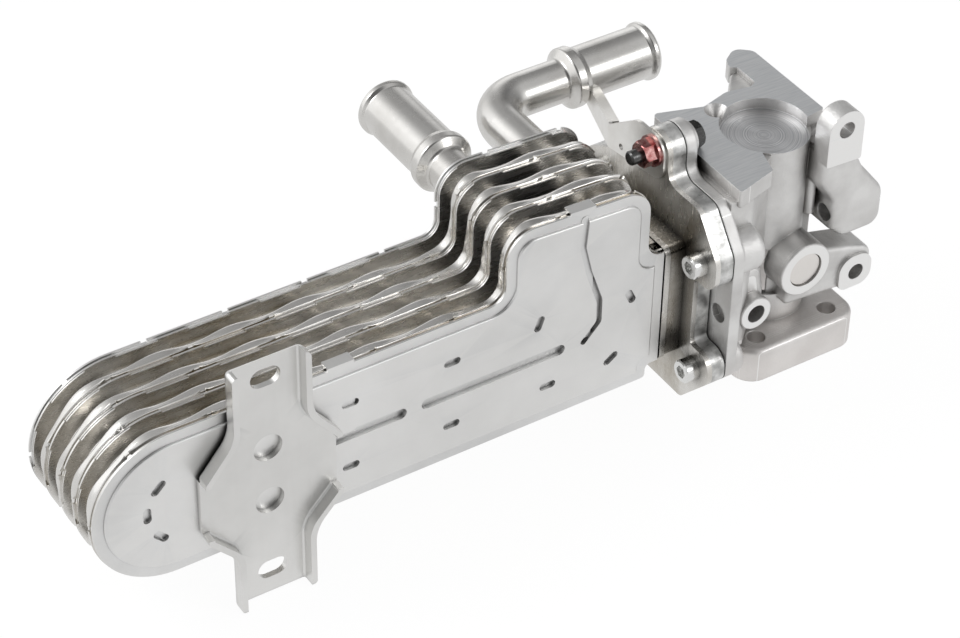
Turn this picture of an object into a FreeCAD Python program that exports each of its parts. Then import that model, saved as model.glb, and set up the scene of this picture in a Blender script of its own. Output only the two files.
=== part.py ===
import FreeCAD, Part
import math
import os

# Plate-stack exhaust gas cooler with its cast housing, in millimetres.
# X runs along the cooler towards the housing, Y away from the front cover, Z up.
# The origin is the centre of the housing's foot, on its lower sealing face.

V = FreeCAD.Vector

# Stack of pressed plates
cell_count = 4
cell_pitch = 12.25
sheet = 0.8
front_y = -20.0
body_length = 253.2
body_width = 68.8
body_bottom_z = 17.5
gas_end_x = -67.0
gas_margin = 6.4
block_setback = 8.0
block_length = 67.1
block_left_rise = 30.9
block_right_rise = 28.1
step_radius = 6.5
block_left_radius = 13.0
block_right_radius = 12.0
neck_radius = 7.0
neck_corner = 2.2
neck_length = 6.0
tray_depth = 6.2
tray_wall_inset = 1.0
tray_shoulder = 1.7
lip_back = 1.9
seam_inset = 0.7
back_pan_depth = 5.2
back_pan_inset = 5.0

# Seam of each rim: short tabs on the flat plate, narrow notches in the tray
tab_length = 13.0
tab_pitch = 30.8
tab_rise = 0.9
notch_length = 2.6
notch_pitch = 34.6
notch_depth = 1.3

# Front cover pressings
field_inset = 5.0
field_rise = 1.0
rib_depth = 2.0
rib_width = 6.2
curved_rib_width = 4.0
dent_taper = 0.6
lock_tab_length = 11.5
lock_tab_depth = 5.0
lock_tab_places = (-147.5, -40.2)
dimple_depth = 1.6
dimple_length = 8.6
dimple_width = 4.6
straight_rib_drop = 0.3
straight_ribs = ((-80.0, 67.0), (-136.5, 35.0))
body_dimples = (
    (-144.3, 15.2, 0), (-144.4, -16.2, 0), (-99.2, 15.4, 0), (-99.3, -16.1, 0),
    (-59.5, 17.2, 70), (-54.7, -16.2, 0), (-24.6, -15.5, 35), (-16.5, 12.9, -65),
)
end_dimples = ((-6.8, 11.1, 45), (-12.0, -0.3, 90), (-7.0, -12.9, -45))
curved_rib = ((-31.0, -1.4), (-32.2, -16.4), (-29.0, -29.4), (-23.4, -45.4), (-23.2, -55.9),
              (-31.5, -64.9))

# Gas tubes and their fins
gas_sheet = 0.5
fin_pitch = 4.4
fin_sheet = 0.35
fin_end_gap = 9.0
fin_turn_gap = 24.0
fin_middle_gap = 4.0
fin_side_gap = 3.0

# Coolant pipes
port_drop = 19.2
stub_inset = 18.1
elbow_inset = 15.0
neck_outer_r = 9.3
hose_outer_r = 11.5
pipe_wall = 1.3
bead_rise = 1.6
end_bead_rise = 1.1
bead_half = 2.6
end_bead_half = 1.8
stub_bead_out = 21.0
hose_length = 44.0
elbow_run_out = 42.6
elbow_radius = 17.0
elbow_straight = 25.0
elbow_hose_length = 38.5
collar_wall = 1.0

# Mounting bracket
bracket_sheet = 2.5
bracket_lip = 5.5
bracket_bend = 3.6
bracket_inset = 72.0
bracket_tab_half = 16.5
bracket_middle_half = 29.0
bracket_drop = 4.5
bracket_wide_half = 15.0
bracket_waist = 15.5
bracket_top_reach = 60.6
bracket_bottom_reach = 56.9
bracket_hole_r = 6.1
bracket_slot_r = 4.3
bracket_slot_travel = 2.0
bracket_holes = (16.7, -9.6)
bracket_top_slot = 9.5
bracket_bottom_slot = 12.0

# Header and flange
header_length = 10.0
header_sheet = 1.5
header_bead = 2.6
header_bead_rise = 0.5
header_corner = 3.0
header_rim = 1.5
divider_sheet = 1.2
flange_gasket_sheet = 0.8
flange_plate_sheet = 6.0
housing_gasket_sheet = 0.6
window_side = 3.0
window_radius = 6.0
flange_top_rise = 23.5
flange_bottom_drop = 20.6
flange_recess = 13.4
flange_shoulder = 13.8
flange_rear_shoulder = 30.0
flange_foot = 17.0
flange_round = 6.0
foot_round = 4.0
lug_round = 7.5
lug_shoulder = 5.2
lug_low_cut = 2.0
recess_round = 2.5
bolt_front_gap = 10.3
bolt_rear_gap = 10.6
bolt_drop = 1.9
bolt_spacing_z = 53.6
bolt_lug = 10.0
stud_y = 3.6
stud_rise = 10.9
stud_lug = 8.8

# Pipe stay
stay_sheet = 1.5
stay_eye_r = 7.5
stay_bend_y = 33.0
stay_bend_r = 3.0
stay_turn = 22.0
stay_end_gap = 4.6
stay_drop = 7.0
stay_taper = 2.0
stay_below_port = 3.8
stay_above_port = 7.5
stay_lip = 3.0
stay_hole_r = 1.4
stay_hole_back = 8.3
stay_hole_rise = 1.5

# Fasteners, M6 screws and an M6 stud
m6_r = 3.0
m6_clearance_r = 3.3
m6_screw_length = 18.0
cap_head_r = 5.0
cap_head_height = 6.0
hex_key_flat = 5.0
hex_key_depth = 3.0
stud_front = 5.0
hex_head_height = 4.4
nut_flat = 10.0
nut_height = 6.5
nut_flange_r = 6.6
nut_flange_height = 1.4

# Cast housing
casting_flange = 5.7
flange_edge = 1.5
machined_z = 106.0
top_plate = 8.0
body_low_z = 22.0
wall_x = -1.5
wall_y = 2.0
wall_r = 16.7
wall_rib_x = 12.5
wall_rib_y = -10.0
wall_rib_r = 2.4
wall_rib_low_z = 62.0
neck_r = 17.5
chamber_bore_r = 13.0
lower_roof_z = 52.0
chamber_floor_z = 29.0
duct_reach = 26.0
upper_duct_reach = 22.0
lower_duct_y = -24.0
lower_duct_depth = 40.0
lower_duct_round = 6.0
pocket_x = -6.0
pocket_r = 18.5
pocket_depth = 5.0
scallop_x = -16.8
scallop_y = 18.2
scallop_r = 5.0
ledge_z = 103.4
ledge_depth = 9.0
stud_boss = 1.5
stud_boss_r = 7.0
upper_lug_boss = 11.0
lower_lug_boss = 6.0
rear_lug_boss = 8.0
small_lug_r = 8.5
foot_height = 16.0
foot_left_x = -29.0
foot_right_x = 29.5
foot_half_y = 30.5
foot_corner = 9.5
foot_edge = 2.5
foot_bolt_x = 18.2
foot_bolt_y = 21.5
m8_r = 4.0
rear_port_x = -2.0
rear_port_z = 70.0
rear_port_r = 11.5
rear_port_wall = 5.0
rear_port_depth = 32.0
rear_face_y = 34.0
rear_pad_depth = 14.0
rear_bolt_spacing = 38.0
rear_bolt_wall = 4.4
rear_bolt_depth = 12.0
link_half_z = 9.0
link_low_y = -7.0
link_high_y = 17.0
plug_x = 2.0
plug_z = 45.2
plug_face_y = -25.0
plug_boss_r = 12.4
plug_boss_depth = 20.0
plug_r = 8.0
plug_seat = 1.2
plug_thickness = 3.0
plug_sink = 0.9
plug_edge = 0.5
bore_boss_x = -26.2
bore_boss_z = 37.6
bore_boss_y = -30.0
bore_boss_r = 7.6
bore_boss_depth = 16.0
bore_r = 4.2
bore_depth = 11.0
drilling_y = -32.5
drilling_drop = 2.6
drilling_depth = 3.0
ear_hole_r = 3.8
ear_step = 1.5
upper_ear_x = 17.6
upper_ear_y = -23.0
upper_ear_z = 108.6
upper_ear_r = 8.7
upper_ear_low_z = 91.8
upper_ear_slant = 1.0
upper_ear_thickness = 9.0
lower_ear_x = 30.0
lower_ear_y = -24.0
lower_ear_z = 32.2
lower_ear_r = 8.6
lower_ear_thickness = 9.0
web_depth = 14.0
web_edge = 2.0
arm_mouth_x = 16.5
arm_right_x = 43.0
arm_bottom_z = 50.5
arm_depth = 24.0
arm_edge = 4.0
arm_hole_y = -15.3
arm_hole_z = 63.1

# Derived places
body_left_x = gas_end_x - body_length
body_middle_z = body_bottom_z + body_width / 2
body_top_z = body_bottom_z + body_width
end_centre_x = body_left_x + body_width / 2
gas_width = body_width - 2 * gas_margin
gas_bottom_z = body_middle_z - gas_width / 2
gas_top_z = body_middle_z + gas_width / 2
neck_start_x = gas_end_x - neck_length
block_right_x = gas_end_x - block_setback
block_left_x = block_right_x - block_length
block_left_z = body_top_z + block_left_rise
block_right_z = body_top_z + block_right_rise
back_rim_y = front_y + cell_count * cell_pitch
back_face_y = back_rim_y + lip_back + sheet
pan_outer_y = back_rim_y + sheet + back_pan_depth
port_z = block_left_z - port_drop
stub_x = block_left_x + stub_inset
elbow_x = block_right_x - elbow_inset
stub_bead_y = pan_outer_y + stub_bead_out
elbow_run_y = pan_outer_y + elbow_run_out
bracket_x = body_left_x + bracket_inset
bracket_middle_z = body_middle_z - bracket_drop
bracket_top_z = bracket_middle_z + bracket_top_reach
bracket_bottom_z = bracket_middle_z - bracket_bottom_reach
flange_x = gas_end_x + header_length
gasket_x = flange_x + header_rim
plate_x = gasket_x + flange_gasket_sheet
housing_gasket_x = plate_x + flange_plate_sheet
housing_x = housing_gasket_x + housing_gasket_sheet
bolt_front_y = front_y - bolt_front_gap
bolt_rear_y = back_face_y + bolt_rear_gap
bolt_low_z = body_middle_z - bolt_drop - bolt_spacing_z / 2
bolt_high_z = bolt_low_z + bolt_spacing_z
bolt_zs = (bolt_low_z, bolt_high_z)
flange_top_z = bolt_high_z + flange_top_rise
flange_bottom_z = bolt_low_z - flange_bottom_drop
stud_z = flange_top_z + stud_rise
bolt_places = [(y, z) for y in (bolt_front_y, bolt_rear_y) for z in bolt_zs]

os.makedirs("parts", exist_ok=True)


def save(name, shape):
    """Write one piece, and say if it isn't a valid closed solid."""
    if not shape.isValid() or not shape.Solids:
        print("CHECK", name, shape.isValid(), len(shape.Solids))
    shape.exportStep("parts/" + name + ".step")
    print(name, len(shape.Solids), round(shape.Volume / 1000, 2), "cm3")


def on_y(y):
    """Map outline points (x, z) onto the plane at y."""
    return lambda u, v: V(u, y, v)


def on_x(x):
    """Map outline points (y, z) onto the plane at x."""
    return lambda u, v: V(x, u, v)


def on_z(z):
    """Map outline points (x, y) onto the plane at z."""
    return lambda u, v: V(u, v, z)


def outline(points, place):
    """Closed wire through (u, v, radius) corners, each rounded by a tangent arc."""
    corners = [place(u, v) for u, v, r in points]
    arcs = []
    for i, corner in enumerate(corners):
        radius = points[i][2]
        before = (corners[i - 1] - corner).normalize()
        after = (corners[(i + 1) % len(corners)] - corner).normalize()
        if radius < 1e-6:
            arcs.append((corner, None, corner))
            continue
        half = before.getAngle(after) / 2
        reach = radius / math.tan(half)
        inward = (before + after).normalize()
        middle = corner + inward * (radius / math.sin(half) - radius)
        arcs.append((corner + before * reach, middle, corner + after * reach))
    edges = []
    for i, (start, middle, end) in enumerate(arcs):
        if middle is not None:
            edges.append(Part.Arc(start, middle, end).toShape())
        following = arcs[(i + 1) % len(arcs)][0]
        if (following - end).Length > 1e-4:
            edges.append(Part.makeLine(end, following))
    return Part.Wire(Part.__sortEdges__(edges))


def slab(points, place, depth):
    """Solid from a rounded outline, extruded by the depth vector."""
    return Part.Face(outline(points, place)).extrude(depth)


def rod(radius, start, length, axis):
    return Part.makeCylinder(radius, length, start, axis)


def hexagon(flat, y, z, x, length):
    """Hexagonal prism along X, flats up and down."""
    corner = flat / math.sqrt(3)
    points = [(y + corner * math.cos(math.radians(60 * i)), z + corner * math.sin(math.radians(60 * i)), 0)
              for i in range(6)]
    return slab(points, on_x(x), V(length, 0, 0))


def box(x0, x1, y0, y1, z0, z1):
    return Part.makeBox(x1 - x0, y1 - y0, z1 - z0, V(x0, y0, z0))


def round_edges(solid, radius, wanted):
    """Fillet the edges whose middle point passes the test."""
    edges = [e for e in solid.Edges if wanted(e.valueAt((e.FirstParameter + e.LastParameter) / 2), e)]
    return solid.makeFillet(radius, edges)


def bevel_edges(solid, size, wanted):
    """Chamfer the edges whose middle point passes the test."""
    edges = [e for e in solid.Edges if wanted(e.valueAt((e.FirstParameter + e.LastParameter) / 2), e)]
    return solid.makeChamfer(size, edges)


def joined(shapes):
    result = shapes[0]
    for shape in shapes[1:]:
        result = result.fuse(shape)
    return result.removeSplitter()


# Outline of the stack: a long body with a half-round end, a taller block that carries
# the coolant ports, and a narrower neck at the gas end.

def stack_points(inset=0.0):
    left = body_left_x + inset
    low = body_bottom_z + inset
    high = body_top_z - inset
    neck_low = gas_bottom_z + inset
    neck_high = gas_top_z - inset
    end_r = body_width / 2 - inset
    tip = gas_end_x - inset
    return [
        (left, low, end_r),
        (left, high, end_r),
        (block_left_x + inset, high, step_radius + inset),
        (block_left_x + inset, block_left_z - inset, block_left_radius - inset),
        (block_right_x - inset, block_right_z - inset, block_right_radius - inset),
        (block_right_x - inset, neck_high, min(neck_radius + inset, gas_end_x - block_right_x - 0.3)),
        (tip, neck_high, 0.0),
        (tip, neck_low, 0.0),
        (neck_start_x - inset, neck_low, neck_corner + min(inset, 1.0)),
        (neck_start_x - inset, low, max(neck_corner - inset, 0.4)),
    ]


def stack_slab(y0, y1, inset=0.0):
    return slab(stack_points(inset), on_y(y0), V(0, y1 - y0, 0))


def rim_marks(pitch, length, depth, start):
    """Small blocks along the rim, spaced by the pitch and turned to follow it."""
    wire = outline(stack_points(), on_y(0))
    marks = []
    travelled = 0.0
    goal = start
    for edge in wire.OrderedEdges:
        while goal < travelled + edge.Length:
            near = edge.getParameterByLength(goal - travelled)
            point = edge.valueAt(near)
            along = edge.tangentAt(near)
            straight = edge.Length > length * 1.4
            if straight and point.x < gas_end_x - length:
                block = Part.makeBox(length, 40, depth, V(-length / 2, -20, -depth))
                block2 = Part.makeBox(length, 40, depth, V(-length / 2, -20, 0))
                block = block.fuse(block2).removeSplitter()
                turn = math.degrees(math.atan2(along.z, along.x))
                block.rotate(V(0, 0, 0), V(0, 1, 0), -turn)
                block.translate(V(point.x, 0, point.z))
                marks.append(block)
            goal += pitch
        travelled += edge.Length
    return marks


def span(marks, y0, y1):
    """The rim marks cut to one stretch of the depth."""
    band = box(-500, 200, y0, y1, -200, 300)
    return [mark.translated(V(0, (y0 + y1) / 2, 0)).common(band) for mark in marks]


tab_marks = rim_marks(tab_pitch, tab_length, 3.0, 12.0)
notch_marks = rim_marks(notch_pitch, notch_length, notch_depth, 20.0)


def port_bores(radius, y0, y1):
    axis = V(0, 1, 0)
    return [rod(radius, V(x, y0, port_z), y1 - y0, axis) for x in (stub_x, elbow_x)]


def cell_y(index):
    return front_y + index * cell_pitch


def tabbed_plate(y):
    """Flat plate of one cell: its edge sits back a little, apart from the seam tabs."""
    plate = stack_slab(y, y + sheet, tab_rise)
    full = stack_slab(y, y + sheet)
    tabs = full.common(Part.makeCompound(span(tab_marks, y, y + sheet)))
    return plate.fuse(tabs).removeSplitter()


def pressed_pan(y, wall_inset, depth):
    """Drawn tray: a notched lip, a joggle behind the seam, and a wall to a round shoulder."""
    lip_y = y + lip_back
    lip = stack_slab(lip_y, lip_y + sheet)
    lip = lip.cut(Part.makeCompound(span(notch_marks, lip_y, lip_y + sheet)))
    joggle = stack_slab(y + sheet, lip_y, seam_inset)
    shell = stack_slab(lip_y, y + sheet + depth, wall_inset)
    back = y + sheet + depth
    shell = round_edges(shell, tray_shoulder, lambda p, e: abs(p.y - back) < 0.01)
    hollow = stack_slab(y + sheet, back - sheet, wall_inset + sheet)
    return joined([shell, joggle, lip]).cut(hollow)


# Front cover: flat border, raised field, two straight ribs, one curved rib and dimples.

def slot_points(x, z, length, width, angle):
    """Corners of a round-ended slot, turned by the angle in degrees."""
    ux, uz = math.cos(math.radians(angle)), math.sin(math.radians(angle))
    half, side = length / 2, width / 2
    corners = [(-half, -side), (half, -side), (half, side), (-half, side)]
    return [(x + a * ux - b * uz, z + a * uz + b * ux, side) for a, b in corners]


def rib_band(points, width):
    """Closed outline of constant width along an open line of (x, z) points."""
    left, right = [], []
    count = len(points)
    for i, (x, z) in enumerate(points):
        ax, az = points[max(i - 1, 0)]
        bx, bz = points[min(i + 1, count - 1)]
        size = math.hypot(bx - ax, bz - az)
        nx, nz = -(bz - az) / size, (bx - ax) / size
        bend = width if 0 < i < count - 1 else 0.45 * width
        left.append((x + nx * width / 2, z + nz * width / 2, bend))
        right.append((x - nx * width / 2, z - nz * width / 2, bend))
    return left + right[::-1]


def front_cover():
    field_y = front_y - field_rise
    border = stack_slab(front_y, front_y + sheet, tab_rise / 2)
    field = stack_slab(field_y, front_y + sheet, field_inset)
    field = round_edges(field, sheet, lambda p, e: abs(p.y - field_y) < 0.01)
    hollow = stack_slab(field_y + sheet, front_y + sheet, field_inset + sheet)
    cover = border.fuse(field).cut(hollow)
    places = [(gas_end_x + x, z, turn) for x, z, turn in body_dimples]
    places += [(end_centre_x + x, z, turn) for x, z, turn in end_dimples]
    presses = [(slot_points(x, body_middle_z + z, dimple_length, dimple_width, turn), dimple_depth)
               for x, z, turn in places]
    rib_z = body_middle_z - straight_rib_drop
    for x, length in straight_ribs:
        presses.append((slot_points(gas_end_x + x, rib_z, length, rib_width, 0), rib_depth))
    bend = [(block_right_x + x, block_right_z + z) for x, z in curved_rib]
    presses.append((rib_band(bend, curved_rib_width), rib_depth))
    for points, depth in presses:
        cover = cover.fuse(slab(points, on_y(field_y + sheet), V(0, depth, 0)))
    for points, depth in presses:
        cover = cover.cut(slab(shrunk(points, dent_taper), on_y(field_y), V(0, depth, 0)))
    # Locking tabs, folded back over the rim of the first tray
    wrap = stack_slab(front_y, front_y + lock_tab_depth, -sheet)
    wrap = wrap.cut(stack_slab(front_y + sheet, front_y + lock_tab_depth, 0))
    for place in lock_tab_places:
        x = gas_end_x + place
        half = lock_tab_length / 2
        zone = box(x - half, x + half, front_y, front_y + lock_tab_depth, body_middle_z, 2 * block_left_z)
        cover = cover.fuse(wrap.common(zone))
    return cover.removeSplitter()


def shrunk(points, amount):
    """The same rounded outline, smaller by the amount on every side."""
    count = len(points)
    corners = []
    for i, (u, v, r) in enumerate(points):
        before = points[i - 1]
        after = points[(i + 1) % count]
        corners.append(moved_in(before, (u, v), after, amount, points) + (max(r - amount, 0.2),))
    return corners


def moved_in(before, here, after, amount, points):
    """Shift one corner so that both of its sides move inward by the amount."""
    area = sum(a[0] * b[1] - b[0] * a[1] for a, b in zip(points, points[1:] + points[:1]))
    sign = 1 if area > 0 else -1
    d1 = (here[0] - before[0], here[1] - before[1])
    d2 = (after[0] - here[0], after[1] - here[1])
    l1, l2 = math.hypot(*d1), math.hypot(*d2)
    n1 = (-d1[1] / l1 * sign, d1[0] / l1 * sign)
    n2 = (-d2[1] / l2 * sign, d2[0] / l2 * sign)
    scale = amount / (1 + n1[0] * n2[0] + n1[1] * n2[1])
    return (here[0] + (n1[0] + n2[0]) * scale, here[1] + (n1[1] + n2[1]) * scale)


save("front_cover", front_cover())

# Each coolant cell is a flat plate and a tray brazed along their rims. The first cell's
# plate is the front cover, and the last cell is closed by the back cover.

port_r = neck_outer_r - pipe_wall
for index in range(cell_count):
    y = cell_y(index)
    tray = pressed_pan(y, tray_wall_inset, tray_depth)
    floor_y = y + sheet + tray_depth
    collars = port_bores(port_r + collar_wall, floor_y, cell_y(index + 1))
    tray = joined([tray] + collars)
    tray = tray.cut(Part.makeCompound(port_bores(port_r, floor_y - 2 * sheet, cell_y(index + 1))))
    save("coolant_tray_%d" % (index + 1), tray)

for index in range(1, cell_count + 1):
    y = cell_y(index)
    plate = tabbed_plate(y)
    plate = plate.cut(Part.makeCompound(port_bores(port_r, y, y + sheet)))
    save("coolant_plate_%d" % index, plate)

back = pressed_pan(back_rim_y, back_pan_inset, back_pan_depth)
back = back.cut(Part.makeCompound(port_bores(neck_outer_r, back_rim_y + sheet, pan_outer_y)))
save("back_cover", back)


# Gas tubes: flat pouches, open at the header and closed round at the far end.

def gas_points(inset):
    left = body_left_x + (body_width - gas_width) / 2 + inset
    low, high = gas_bottom_z + inset, gas_top_z - inset
    end_r = gas_width / 2 - inset
    return [(left, low, end_r), (left, high, end_r), (gas_end_x, high, 0), (gas_end_x, low, 0)]


def fin_bank(x0, x1, z0, z1, y0, y1):
    """Folded fin sheet: a square wave across the bank, drawn out along the gas flow."""
    folds = max(2, int((z1 - z0) / fin_pitch))
    step = (z1 - z0 - fin_sheet) / (2 * folds - 1)
    low, high = y0 + fin_sheet / 2, y1 - fin_sheet / 2
    line = []
    for fold in range(folds):
        z = z0 + fin_sheet / 2 + fold * 2 * step
        line += [(low, z), (high, z), (high, z + step), (low, z + step)]
    left, right = [], []
    for i, (y, z) in enumerate(line):
        ny, nz = 0, 0
        for a, b in ((i - 1, i), (i, i + 1)):
            if a >= 0 and b < len(line):
                dy, dz = line[b][0] - line[a][0], line[b][1] - line[a][1]
                size = math.hypot(dy, dz)
                ny, nz = ny - dz / size, nz + dy / size
        left.append((y + ny * fin_sheet / 2, z + nz * fin_sheet / 2, 0))
        right.append((y - ny * fin_sheet / 2, z - nz * fin_sheet / 2, 0))
    return slab(left + right[::-1], on_x(x0), V(x1 - x0, 0, 0))


fin_x0 = body_left_x + (body_width - gas_width) / 2 + fin_turn_gap
fin_x1 = gas_end_x - fin_end_gap
fin_banks = (
    ("lower", gas_bottom_z + fin_side_gap, body_middle_z - fin_middle_gap / 2),
    ("upper", body_middle_z + fin_middle_gap / 2, gas_top_z - fin_side_gap),
)
for index in range(cell_count):
    y0 = cell_y(index) + sheet + tray_depth
    y1 = cell_y(index + 1)
    tube = slab(gas_points(0), on_y(y0), V(0, y1 - y0, 0))
    hollow = slab(gas_points(gas_sheet), on_y(y0 + gas_sheet), V(0, y1 - y0 - 2 * gas_sheet, 0))
    save("gas_tube_%d" % (index + 1), tube.cut(hollow))
    for name, z0, z1 in fin_banks:
        bank = fin_bank(fin_x0, fin_x1, z0, z1, y0 + gas_sheet, y1 - gas_sheet)
        save("gas_fins_%s_%d" % (name, index + 1), bank)


# Coolant pipes: bulged hose ends with rolled beads, on necks brazed into the back cover.

def hose_profile(start, bead, end):
    """Half section (along, radius) of a pipe that widens behind a rolled bead."""
    bead_r = hose_outer_r + bead_rise
    end_r = hose_outer_r + end_bead_rise
    bore = hose_outer_r - pipe_wall
    neck_bore = neck_outer_r - pipe_wall
    return [
        (start, neck_outer_r, 0), (bead - 2 * bead_half, neck_outer_r, 2.0),
        (bead - bead_half, bead_r, 1.2), (bead + bead_half / 2, bead_r, 1.2),
        (bead + 1.5 * bead_half, hose_outer_r, 1.0), (end - 2.4 * end_bead_half, hose_outer_r, 1.0),
        (end - 1.6 * end_bead_half, end_r, 1.0), (end - 0.6 * end_bead_half, end_r, 1.0),
        (end, hose_outer_r, 0), (end, bore, 0), (bead + 1, bore, 1.5), (bead - 3, neck_bore, 1.5),
        (start, neck_bore, 0),
    ]


def turned(profile, origin, along, across):
    """Revolve an (along, radius) half section about its axis."""
    wire = outline(profile, lambda u, v: origin + along * u + across * v)
    return Part.Face(wire).revolve(origin, along, 360)


neck_start_y = pan_outer_y - sheet
stub_end_y = stub_bead_y + hose_length
stub = turned(hose_profile(neck_start_y, stub_bead_y, stub_end_y),
              V(stub_x, 0, port_z), V(0, 1, 0), V(1, 0, 0))
save("coolant_stub_pipe", stub)

bend_y = elbow_run_y - elbow_radius
bend_x = elbow_x + elbow_radius
elbow_bead_x = bend_x + elbow_straight
elbow_end_x = elbow_bead_x + elbow_hose_length
hose = turned(hose_profile(bend_x, elbow_bead_x, elbow_end_x),
              V(0, elbow_run_y, port_z), V(1, 0, 0), V(0, 0, 1))


def bent_tube(radius):
    rise = rod(radius, V(elbow_x, neck_start_y, port_z), bend_y - neck_start_y, V(0, 1, 0))
    ring = Part.Face(Part.Wire(Part.makeCircle(radius, V(elbow_x, bend_y, port_z), V(0, 1, 0))))
    bend = ring.revolve(V(bend_x, bend_y, port_z), V(0, 0, 1), -90)
    return rise.fuse(bend)


elbow = bent_tube(neck_outer_r).cut(bent_tube(neck_outer_r - pipe_wall))
save("coolant_elbow_pipe", elbow.fuse(hose).removeSplitter())


# Mounting bracket: pressed strap, welded across the cover, its waists stiffened by lips.

def bracket_points(top_z, bottom_z):
    left_tab, right_tab = bracket_x - bracket_tab_half, bracket_x + bracket_tab_half
    left, right = bracket_x - bracket_middle_half, bracket_x + bracket_middle_half
    low, high = bracket_middle_z - bracket_wide_half, bracket_middle_z + bracket_wide_half
    waist = bracket_waist
    return [
        (left_tab, top_z, 2.0), (left_tab, high + waist, 16.0), (left, high, 1.5), (left, low, 3.0),
        (left_tab, low - waist + 2.0, 16.0), (left_tab, bottom_z, 1.5), (right_tab, bottom_z, 1.5),
        (right_tab, low - waist + 2.0, 16.0), (right, low, 3.0), (right, high, 2.0),
        (right_tab, high + waist, 18.0), (right_tab, top_z, 3.0),
    ]


bracket_back_y = front_y - field_rise
bracket_face_y = bracket_back_y - bracket_sheet
bracket_lip_y = bracket_face_y - bracket_lip
strap_points = bracket_points(bracket_top_z, bracket_bottom_z)
strap = slab(strap_points, on_y(bracket_lip_y), V(0, bracket_sheet + bracket_lip, 0))
strap = round_edges(strap, bracket_bend,
                    lambda p, e: abs(p.y - bracket_back_y) < 0.01
                    and bracket_bottom_z + 2 < p.z < bracket_top_z - 4)
longer = bracket_points(bracket_top_z + 30, bracket_bottom_z - 30)
pocket = slab(shrunk(longer, bracket_sheet), on_y(bracket_lip_y), V(0, bracket_lip, 0))
pocket = round_edges(pocket, bracket_bend - bracket_sheet,
                     lambda p, e: abs(p.y - bracket_face_y) < 0.01 and e.Length > 1.0
                     and bracket_bottom_z - 25 < p.z < bracket_top_z + 25)
flat_half = bracket_wide_half - 2.0
flat_zone = box(bracket_x - 60, bracket_x + 60, bracket_lip_y - 1, bracket_back_y + 1,
                bracket_middle_z - flat_half, bracket_middle_z + flat_half)
plain = slab(strap_points, on_y(bracket_face_y), V(0, bracket_sheet, 0))
strap = strap.cut(pocket).cut(flat_zone).fuse(plain.common(flat_zone)).removeSplitter()
through = front_y - bracket_lip_y
for rise in bracket_holes:
    start = V(bracket_x, bracket_lip_y, bracket_middle_z + rise)
    strap = strap.cut(rod(bracket_hole_r, start, through, V(0, 1, 0)))
for z in (bracket_top_z - bracket_top_slot, bracket_bottom_z + bracket_bottom_slot):
    length = 2 * (bracket_slot_r + bracket_slot_travel)
    slot = slot_points(bracket_x, z, length, 2 * bracket_slot_r, 0)
    strap = strap.cut(slab(slot, on_y(bracket_lip_y), V(0, through, 0)))
save("mounting_bracket", strap)


# Header: a drawn collar that gathers the gas tubes, with an out-turned rim for the flange.

def flange_points(recessed=True):
    """Flange outline (y, z): a lug over the stud, two lugs each side, a flat lower edge."""
    low, high = bolt_zs
    front, rear = bolt_front_y - bolt_lug, bolt_rear_y + bolt_lug
    front_cut, rear_cut = front + flange_recess, rear - flange_recess
    front_edge = [(front, high - bolt_lug, lug_round), (front_cut, high - bolt_lug, recess_round),
                  (front_cut, low + bolt_lug, recess_round), (front, low + bolt_lug, lug_round)]
    rear_edge = [(rear, low + bolt_lug, lug_round), (rear_cut, low + bolt_lug, recess_round),
                 (rear_cut, high - bolt_lug, recess_round), (rear, high - bolt_lug, lug_round)]
    top, crown = stud_z + stud_lug, stud_lug - 0.1
    points = [(stud_y - stud_lug, top, crown), (stud_y - stud_lug, flange_top_z, flange_round),
              (front + flange_shoulder, flange_top_z, flange_round),
              (front, high + lug_shoulder, lug_round)]
    points += front_edge if recessed else []
    points += [(front, low - lug_low_cut, flange_round), (front + flange_foot, flange_bottom_z, foot_round),
               (rear - flange_foot, flange_bottom_z, foot_round), (rear, low - lug_low_cut, flange_round)]
    points += rear_edge if recessed else []
    points += [(rear, high + lug_shoulder, lug_round),
               (rear - flange_rear_shoulder, flange_top_z, flange_round),
               (stud_y + stud_lug, flange_top_z, flange_round), (stud_y + stud_lug, top, crown)]
    return points


def window_points(z0, z1):
    y0, y1 = front_y + window_side, back_face_y - window_side
    return [(y0, z0, window_radius), (y1, z0, window_radius),
            (y1, z1, window_radius), (y0, z1, window_radius)]


window_gap = divider_sheet / 2 + window_side
lower_window = window_points(gas_bottom_z + window_side, body_middle_z - window_gap)
upper_window = window_points(body_middle_z + window_gap, gas_top_z - window_side)


def fixing_holes(x, depth, radius):
    places = bolt_places + [(stud_y, stud_z)]
    return [rod(radius, V(x, y, z), depth, V(1, 0, 0)) for y, z in places]


def flange_layer(x, depth):
    layer = slab(flange_points(), on_x(x), V(depth, 0, 0))
    openings = [slab(points, on_x(x), V(depth, 0, 0)) for points in (lower_window, upper_window)]
    return layer.cut(Part.makeCompound(openings + fixing_holes(x, depth, m6_clearance_r)))


def collar(x0, x1, inset):
    y0, y1 = front_y + inset, back_face_y - inset
    z0, z1 = gas_bottom_z + inset, gas_top_z - inset
    r = max(header_corner - inset, 0.6)
    return slab([(y0, z0, r), (y1, z0, r), (y1, z1, r), (y0, z1, r)], on_x(x0), V(x1 - x0, 0, 0))


header = slab(flange_points(), on_x(flange_x), V(header_rim, 0, 0))
header = header.cut(Part.makeCompound(fixing_holes(flange_x, header_rim, m6_clearance_r)))
weld = collar(gas_end_x, gas_end_x + header_bead, -header_bead_rise)
header = joined([header, collar(gas_end_x, flange_x, 0), weld])
save("gas_header", header.cut(collar(gas_end_x, gasket_x, header_sheet)))

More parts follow.
